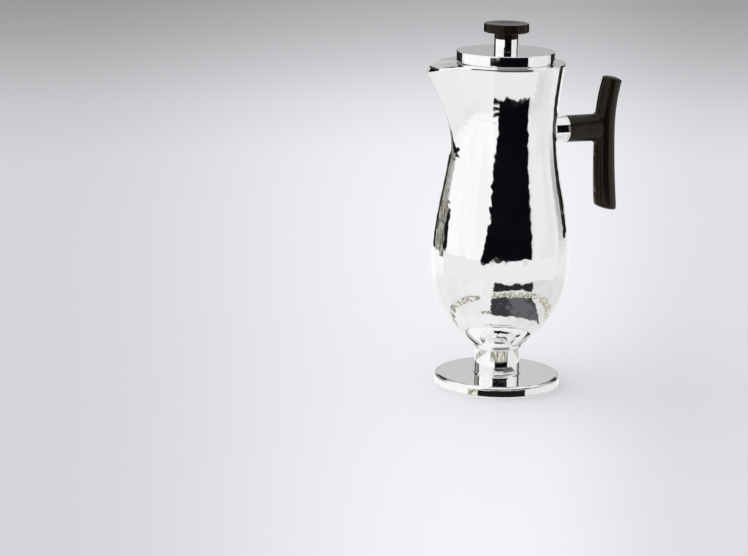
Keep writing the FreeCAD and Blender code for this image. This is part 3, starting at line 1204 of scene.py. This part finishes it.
    def swell_ends(self, mesh: bpy.types.Mesh) -> None:
        """Make up for what sanding took from the grip's ends, and dome them.

        Args:
            mesh: The sanded T.
        """
        low, high = node_box("handle_grip")
        points = np.empty(3 * len(mesh.vertices))
        mesh.vertices.foreach_get("co", points)
        points = points.reshape(-1, 3) / MM
        below = np.clip((self.height - points[:, 2]) / (self.height - low[2]), 0, 1)
        above = np.clip((points[:, 2] - self.height) / (high[2] - self.height), 0, 1)
        points[:, 2] += self.stretch[1] * above - self.stretch[0] * below
        slope = math.radians(self.end_slope)
        for side in (1, -1):
            out = side * np.array((math.sin(slope), 0, math.cos(slope)))
            along = points @ out
            face = along > along.max() - self.end_depth
            spoke = points[face] - points[face].mean(axis=0)
            spoke -= np.outer(spoke @ out, out)
            share = np.sum(spoke ** 2, axis=1)
            points[face] += np.outer(self.end_dome * (1 - share / share.max()), out)
        mesh.vertices.foreach_set("co", (points * MM).ravel())
        mesh.update()


@dataclass
class Lid:
    """The lift-off lid: a flat top and wall in one skin, and the flange in the seat."""

    sheet: float = 1.3
    wall: float = 1.2
    edge_round: float = 0.5
    foot_round: float = 0.6
    inner_rounds: Pair = (0.15, 0.3)
    flange_rounds: Pair = (0.3, 0.4)
    stud_hole: float = 2.05

    def build(self, finishes: Finishes) -> None:
        """Build and dress the lid's skin and flange.

        Args:
            finishes: The pot's finishes.
        """
        bottom, (r, _, top) = node_box("lid_wall")[0][2], node_box("lid_plate")[1]
        inner, under = r - self.wall, top - self.sheet
        skin = rounded([
            (self.stud_hole, top, 0), (r, top, self.edge_round), (r, bottom, self.foot_round),
            (inner, bottom, self.inner_rounds[0]), (inner, under, self.inner_rounds[1]),
            (self.stud_hole, under, 0),
        ], steps=7)
        dress(lathe("lid_skin", skin), finishes.polished, Body.LID, Slot.POLISHED, "lid_plate", "lid_wall")
        low, high = node_box("lid_flange")
        flange = rounded([
            (high[0] - self.wall, low[2], self.flange_rounds[0]),
            (high[0], low[2], self.flange_rounds[1]),
            (high[0], high[2], 0), (high[0] - self.wall, high[2], 0),
        ])
        dress(lathe("lid_flange_tube", flange), finishes.polished, Body.LID, Slot.POLISHED, "lid_flange")


@dataclass
class Knob:
    """The silver stem and the turned wooden knob with its dished top, in millimetres."""

    tube_wall: float = 1.2
    tube_rounds: Pair = (0.1, 0.15)
    tube_sides: int = 160
    neck: float = 4.3
    neck_round: float = 0.2
    dish: float = 1.0
    dish_flat: float = 3.0
    dish_steps: int = 24
    rim_width: float = 1.6
    edge_round: float = 0.7
    inner_round: float = 0.35
    hole: float = 2.05
    stud_grip: float = 7.0

    def build(self, finishes: Finishes) -> None:
        """Build and dress the stem and the knob, and finish the fixing under the lid.

        Args:
            finishes: The pot's finishes.
        """
        low, high = node_box("knob_stem")
        r = high[0]
        inner = r - self.tube_wall
        stem = rounded([
            (inner, low[2], 0), (r, low[2], self.tube_rounds[0]), (r, high[2], self.tube_rounds[1]),
            (inner, high[2], 0),
        ])
        tube = lathe("knob_stem_tube", stem, sides=self.tube_sides)
        dress(tube, finishes.polished, Body.LID, Slot.POLISHED, "knob_stem")
        piece = lathe("wooden_knob", self.knob_outline(r), closed=False)
        dress(piece, finishes.knob_wood, Body.LID, Slot.WOOD, "knob")
        for node in ("knob_stud", "knob_washer", "knob_nut"):
            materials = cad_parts[node].data.materials
            materials.clear()
            materials.append(finishes.brass)
            log.info("%s: brass", node)

    def knob_outline(self, stem: float) -> np.ndarray:
        """Half section of the knob, from the bottom of its hole to the middle of its dish.

        Args:
            stem: Radius of the knob's neck.

        Returns:
            Points of the outline.
        """
        low, high = node_box("knob")
        r, bottom, top = high[0], low[2], high[2]
        disc, brim = bottom + self.neck, r - self.rim_width
        roof = bottom + self.stud_grip
        turned = rounded([
            (0, roof, 0), (self.hole, roof, 0), (self.hole, bottom, 0), (stem, bottom, self.neck_round),
            (stem, disc, self.inner_round), (r, disc, self.edge_round), (r, top, self.edge_round),
            (brim, top, 0),
        ], closed=False)
        dish = []
        for step in range(self.dish_steps + 1):
            share = step / self.dish_steps
            depth = self.dish * (0.5 * eased(share) + 0.5 * math.sin(share * math.pi / 2))
            dish.append((brim + (self.dish_flat - brim) * share, top - depth))
        return np.vstack([turned[:-1], dish, [(0, top - self.dish)]])


# Studio


@dataclass(frozen=True)
class Zone:
    """A part of the far studio that the silver mirrors, by angles in degrees.

    Azimuth is measured from the camera's side, positive to the right of the picture.
    """

    azimuth: Pair
    elevation: Pair
    colour: Triple
    softness: float

    def mask(
        self, wiring: Wiring, azimuth: bpy.types.NodeSocket, elevation: bpy.types.NodeSocket
    ) -> bpy.types.NodeSocket:
        """How far a direction lies in the zone.

        Args:
            wiring: The tree that is being built.
            azimuth: Azimuth of the direction.
            elevation: Elevation of the direction.

        Returns:
            A socket that is 1 inside the zone and 0 outside it.
        """
        shares = []
        for angle, (low, high) in ((azimuth, self.azimuth), (elevation, self.elevation)):
            off = wiring.math("WRAP", wiring.math("SUBTRACT", angle, (low + high) / 2), 180.0, -180.0)
            inner = (high - low - self.softness) / 2
            outer = inner + self.softness
            shares.append(wiring.span(wiring.math("ABSOLUTE", off), inner, outer, 1.0, 0.0))
        return wiring.math("MULTIPLY", *shares)


@dataclass(frozen=True)
class Edge:
    """An edge of a card: an arc about the pot's axis, in degrees and metres."""

    left: float
    right: float
    distance: float
    height: float
    right_distance: float | None = None

    def points(self, side: float, share: np.ndarray) -> np.ndarray:
        """Points along the edge.

        Args:
            side: Azimuth of the camera's side, in degrees.
            share: Shares of the way from left to right.

        Returns:
            One point for each share.
        """
        angle = np.radians(side + self.left + (self.right - self.left) * share)
        stop = self.distance if self.right_distance is None else self.right_distance
        reach = self.distance + (stop - self.distance) * share
        height = 0 * share + self.height
        return np.stack([reach * np.sin(angle), -reach * np.cos(angle), height], axis=-1)


@dataclass(frozen=True)
class Card:
    """A studio card near the pot that only mirrors show, between two edges."""

    name: str
    low: Edge
    high: Edge
    colour: Triple
    fleck: Triple | None = None
    fleck_size: float = 12 * MM
    fleck_range: Pair = (0.45, 0.58)
    ragged: float = 0.0
    waves: int = 6
    wave_turns: Pair = (1.5, 11)
    columns: int = 60
    rows: int = 24

    @classmethod
    def upright(
        cls, name: str, span: Pair, distance: float, heights: Pair, colour: Triple, **look: object
    ) -> "Card":
        """Make a card of one width that stands at one distance.

        Args:
            name: Name of the card.
            span: Its left and right azimuths.
            distance: Its distance from the pot's axis.
            heights: Heights of its edges.
            colour: Its colour.
            look: Further fields of the card.

        Returns:
            The card.
        """
        low, high = (Edge(*span, distance, height) for height in heights)
        return cls(name, low, high, colour, **look)

    def wander(self, spot: np.ndarray, seed: int) -> np.ndarray:
        """How far one edge of the card strays from its line.

        Args:
            spot: Shares of the way along the edge.
            seed: Seed of the edge's waves.

        Returns:
            Offsets as shares of the card's size.
        """
        chance = np.random.default_rng(seed)
        turns = chance.uniform(*self.wave_turns, self.waves)
        starts = chance.uniform(0, 2 * math.pi, self.waves)
        waves = np.sin(2 * math.pi * turns * spot[..., None] + starts)
        return self.ragged * waves.mean(axis=-1)

    def build(self, side: float) -> None:
        """Hang the card.

        Args:
            side: Azimuth of the camera's side, in degrees.
        """
        width, height = self.columns + 1, self.rows + 1
        across, rise = np.meshgrid(np.linspace(0, 1, width), np.linspace(0, 1, height))
        share = across + (1 - across) * self.wander(rise, 1) + across * self.wander(rise, 2)
        climb = rise + (1 - rise) * self.wander(across, 3) + rise * self.wander(across, 4)
        low, high = (edge.points(side, share) for edge in (self.low, self.high))
        points = (low + climb[..., None] * (high - low)).reshape(-1, 3)
        corners = (row * width + k for row in range(self.rows) for k in range(self.columns))
        faces = [(k, k + 1, k + 1 + width, k + width) for k in corners]
        mesh = bpy.data.meshes.new(self.name)
        mesh.from_pydata(points.tolist(), [], faces)
        card = add_piece(self.name, mesh)
        material, wiring, shader = new_material(self.name)
        glow: object = (*self.colour, 1.0)
        if self.fleck:
            place = wiring.node("ShaderNodeTexCoord").outputs["Object"]
            spots = wiring.node("ShaderNodeTexNoise", Vector=place, Scale=1 / self.fleck_size,
                                Detail=3.0)
            flecked = wiring.span(spots.outputs[0], *self.fleck_range)
            glow = wiring.blend(flecked, glow, (*self.fleck, 1.0))
        wiring.fill(shader, Base_Color=(0, 0, 0, 1), Specular_IOR_Level=0.0, Emission_Color=glow,
                    Emission_Strength=1.0)
        mesh.materials.append(material)
        card.visible_camera = False
        card.visible_diffuse = False
        card.visible_shadow = False


@dataclass
class Studio:
    """Pale floor, soft light from all round, and the photograph's camera, in metres."""

    azimuth: float = -24.143
    distance: float = 1.6784
    height: float = 0.4520
    pitch: float = 12.747
    yaw: float = 2.942
    roll: float = 1.004
    lens: float = 120.32
    sensor: float = 36.0
    floor_radius: float = 6.0
    floor_hub: float = 0.0003
    floor_depth: float = 0.001
    floor_span: float = 2.6
    # Painted fall-off of the light: floor tone by distance from the pot, greyer far off.
    floor_shade_tones: tuple[Pair, ...] = (
        (0.19, 0.925), (0.254, 0.922), (0.358, 0.908), (0.492, 0.805),
        (0.627, 0.645), (0.754, 0.53), (0.892, 0.45), (1.0, 0.41),
    )
    # Painted shade that darkens the floor towards the right and left of the camera's view.
    right_painted_shade: float = 0.84
    right_slopes: Pair = (0.01, 0.085)
    left_painted_shade: float = 0.74
    left_slopes: Pair = (-0.19, -0.01)
    nearest: float = 0.8
    tint: Triple = (0.985, 0.975, 1.015)
    white: Triple = (1.0, 1.0, 1.01)
    side_range: Pair = (-0.2, 0.9)
    side_light: Pair = (0.985, 0.84)
    low_range: Pair = (-20.0, -15.0)
    low_light: float = 0.88
    cloud_scale: float = 3.5
    cloud_range: Pair = (0.35, 0.65)
    cloud_light: Pair = (0.95, 1.02)
    lean_range: float = 0.9
    light_lean: float = 0.3
    zones: tuple[Zone, ...] = (
        Zone((116, 244), (-6, 46), (0.465, 0.465, 0.475), softness=10.0),
        Zone((116, 244), (12, 46), (0.585, 0.585, 0.595), softness=6.0),
    )
    cards: tuple[Card, ...] = (
        Card.upright("front_card", (-11, 54), 1.5, (-0.46, -0.06), BLACK),
        Card("front_card_upper", Edge(-11, 54, 1.5, -0.06), Edge(-21, 54, 1.5, 0.46), BLACK),
        Card("front_card_top", Edge(-21, 58, 1.5, 0.46), Edge(-21, 76, 1.5, 1.4), BLACK),
        Card.upright("lid_card", (-33, -9), 0.19, (0.198, 0.2097), BLACK),
        Card("front_card_side", Edge(-27, -9, 0.19, 0.07), Edge(-20, -9, 0.19, 0.142), BLACK),
        Card.upright("front_screen", (-100, 100), 0.246, (0.0012, 0.068), (0.86, 0.86, 0.88)),
        Card.upright("neck_screen", (-16, 52), 0.08, (0.1868, 0.2105), (0.84, 0.84, 0.85), ragged=0.07),
        Card("right_card", Edge(127, 145, 0.45, 0.05), Edge(127, 150, 0.45, 0.5), (0.016, 0.014, 0.010)),
        Card.upright("right_card_upper", (140, 170), 0.45, (0.15, 0.26), (0.05, 0.05, 0.05)),
        Card.upright("left_card_outer", (-147, -135), 0.39, (0.03, 0.135), (0.03, 0.028, 0.022)),
        Card.upright("left_card", (-135, -106), 0.40, (0.03, 0.135), (0.08, 0.077, 0.063),
                     fleck=(0.5, 0.49, 0.44)),
        Card.upright("left_card_inner", (-106, -97), 0.39, (0.03, 0.137), (0.008, 0.008, 0.008)),
        Card.upright("left_card_upper", (-172, -119), 0.39, (0.15, 0.30), (0.004, 0.004, 0.004),
                     fleck=(0.05, 0.05, 0.048), fleck_size=16 * MM),
        Card.upright("foot_card", (-18.5, 29), 0.048, (0.0, 0.0046), (0.012, 0.011, 0.012)),
        Card.upright("foot_card_left", (-29, -18.5), 0.048, (0.0, 0.0046), (0.30, 0.29, 0.22),
                     fleck=(0.85, 0.84, 0.75), fleck_size=2.5 * MM),
        Card.upright("stem_card", (-30, 45), 0.072, (0.004, 0.0155), (0.25, 0.24, 0.19),
                     fleck=(0.85, 0.84, 0.78), fleck_size=4 * MM),
        Card("table_middle", Edge(-12, 100, 0.064, 0.016, 0.052), Edge(-12, 54, 0.113, 0.016),
             (0.045, 0.045, 0.05), fleck=(0.13, 0.13, 0.14), fleck_size=30 * MM, ragged=0.05),
        Card("table_ring", Edge(-12, 62, 0.126, 0.0008), Edge(-12, 62, 0.158, 0.0008),
             (0.30, 0.28, 0.22), fleck=(0.8, 0.78, 0.7), fleck_size=9 * MM, ragged=0.05),
        Card("table_ring_right", Edge(62, 130, 0.126, 0.0008, 0.07), Edge(62, 130, 0.158, 0.0008, 0.1),
             (0.40, 0.38, 0.32), fleck=(0.86, 0.85, 0.8), fleck_size=8 * MM),
        Card("table_ring_left", Edge(-130, -30, 0.065, 0.0008, 0.12), Edge(-130, -30, 0.085, 0.0008, 0.14),
             (0.30, 0.29, 0.26), fleck=(0.86, 0.85, 0.8), fleck_size=8 * MM),
        Card("table_far", Edge(-9, 55, 0.166, 0.0008), Edge(-9, 55, 0.228, 0.0008), (0.022, 0.022, 0.024),
             ragged=0.06),
    )

    def build(self) -> None:
        """Set up the floor, the light and the camera."""
        scene = bpy.context.scene
        scene.view_settings.view_transform = "Standard"
        self.floor()
        for card in self.cards:
            card.build(self.azimuth)
        self.world(scene)
        self.camera(scene)

    def directions(self) -> tuple[Triple, Triple]:
        """Level directions from the pot to the camera and to the right of the picture."""
        side = math.radians(self.azimuth)
        return (math.sin(side), -math.cos(side), 0.0), (math.cos(side), math.sin(side), 0.0)

    def floor(self) -> None:
        """Round floor, white near the pot and greyer far off and towards the sides of the view: painted
        fall-off of the light.
        """
        hub, edge, depth = self.floor_hub, self.floor_radius, self.floor_depth
        outline = np.array([(0, -depth), (hub, -depth), (edge, -depth), (edge, 0), (hub, 0), (0, 0)])
        floor = lathe("floor", outline / MM, closed=False, sides=96)
        material, wiring, shader = new_material("floor_white")
        place = wiring.node("ShaderNodeTexCoord").outputs["Object"]
        far = wiring.vector("LENGTH", place, output="Value")
        ramp = wiring.node("ShaderNodeValToRGB", Fac=wiring.math("DIVIDE", far, self.floor_span))
        elements = ramp.color_ramp.elements
        while len(elements) < len(self.floor_shade_tones):
            elements.new(0.5)
        for element, (spot, value) in zip(elements, self.floor_shade_tones):
            element.position = spot
            element.color = (*(value * channel for channel in self.tint), 1.0)
        # Painted shade: the floor darkens towards the sides of the view from the camera.
        to_camera, to_right = self.directions()
        away = wiring.math("SUBTRACT", self.distance, wiring.dot(place, to_camera))
        away = wiring.math("MAXIMUM", away, self.nearest)
        aside = wiring.math("DIVIDE", wiring.dot(place, to_right), away)
        painted_shade = wiring.math("MULTIPLY", wiring.span(aside, *self.right_slopes, 1.0, self.right_painted_shade),
                             wiring.span(aside, *self.left_slopes, self.left_painted_shade, 1.0))
        tone = wiring.vector("SCALE", ramp.outputs[0], painted_shade)
        wiring.fill(shader, Base_Color=tone, Roughness=0.9, Specular_IOR_Level=0.0)
        floor.data.materials.append(material)
        floor.visible_glossy = False

    def world(self, scene: bpy.types.Scene) -> None:
        """Even white light for matt surfaces, and a studio with dark zones for mirrors.

        Args:
            scene: The scene to light.
        """
        world = bpy.data.worlds.new("studio")
        world.use_nodes = True
        scene.world = world
        wiring = Wiring(world.node_tree)
        background = world.node_tree.nodes["Background"]
        direction = wiring.node("ShaderNodeTexCoord").outputs["Generated"]
        direction = wiring.vector("NORMALIZE", direction)
        to_camera, to_right = self.directions()
        ahead, right = wiring.dot(direction, to_camera), wiring.dot(direction, to_right)
        up = wiring.dot(direction, (0.0, 0.0, 1.0))
        elevation = wiring.math("DEGREES", wiring.math("ARCSINE", up))
        azimuth = wiring.math("DEGREES", wiring.math("ARCTAN2", right, ahead))
        clouds = wiring.node("ShaderNodeTexNoise", Vector=direction, Scale=self.cloud_scale, Detail=2.0)
        bright = wiring.span(right, *self.side_range, *self.side_light)
        low = wiring.span(elevation, *self.low_range, self.low_light, 1.0)
        bright = wiring.math("MULTIPLY", bright, low)
        cloudy = wiring.span(clouds.outputs[0], *self.cloud_range, *self.cloud_light)
        bright = wiring.math("MULTIPLY", bright, cloudy)
        white = wiring.node("ShaderNodeCombineColor")
        for channel, share in zip(white.inputs, self.white):
            wiring.feed(wiring.math("MULTIPLY", bright, share), channel)
        mirrored: object = white.outputs[0]
        for zone in self.zones:
            mask = zone.mask(wiring, azimuth, elevation)
            mirrored = wiring.blend(mask, mirrored, (*zone.colour, 1.0))
        path = wiring.node("ShaderNodeLightPath")
        far = tuple(self.floor_shade_tones[-1][1] * channel for channel in self.tint)
        soft = wiring.span(right, -self.lean_range, self.lean_range,
                           1 + self.light_lean, 1 - self.light_lean)
        seen = wiring.blend(path.outputs["Is Camera Ray"], soft, (*far, 1.0))
        light = wiring.blend(path.outputs["Is Glossy Ray"], seen, mirrored)
        wiring.fill(background, Color=light, Strength=1.0)

    def camera(self, scene: bpy.types.Scene) -> None:
        """Camera at the photograph's place.

        Args:
            scene: The scene to look at.
        """
        side, down = math.radians(self.azimuth), math.radians(self.pitch)
        heading = Vector((-math.sin(side), math.cos(side), 0))
        heading = Matrix.Rotation(math.radians(self.yaw), 3, "Z") @ heading
        forward = heading * math.cos(down) - Vector((0, 0, math.sin(down)))
        level = forward.cross(Vector((0, 0, 1))).normalized()
        upright = level.cross(forward)
        tilt = math.radians(self.roll)
        right = level * math.cos(tilt) + upright * math.sin(tilt)
        up = upright * math.cos(tilt) - level * math.sin(tilt)
        lens = bpy.data.cameras.new("photo_camera")
        lens.lens = self.lens
        lens.sensor_width = self.sensor
        lens.sensor_fit = "HORIZONTAL"
        camera = bpy.data.objects.new("photo_camera", lens)
        scene.collection.objects.link(camera)
        turn = Matrix((right, up, -forward)).transposed().to_4x4()
        spot = Vector((math.sin(side) * self.distance, -math.cos(side) * self.distance, self.height))
        camera.matrix_world = Matrix.Translation(spot) @ turn
        scene.camera = camera


def main() -> None:
    """Build the pot's pieces in order, then the studio."""
    logging.basicConfig(level=logging.INFO, format="%(name)s: %(message)s")
    finishes = Finishes()
    vessel = Vessel()
    for part in (vessel, Deck(vessel), Pedestal(vessel), Handle(vessel), Lid(), Knob()):
        part.build(finishes)
    Studio().build()


if __name__ == "__main__":
    main()
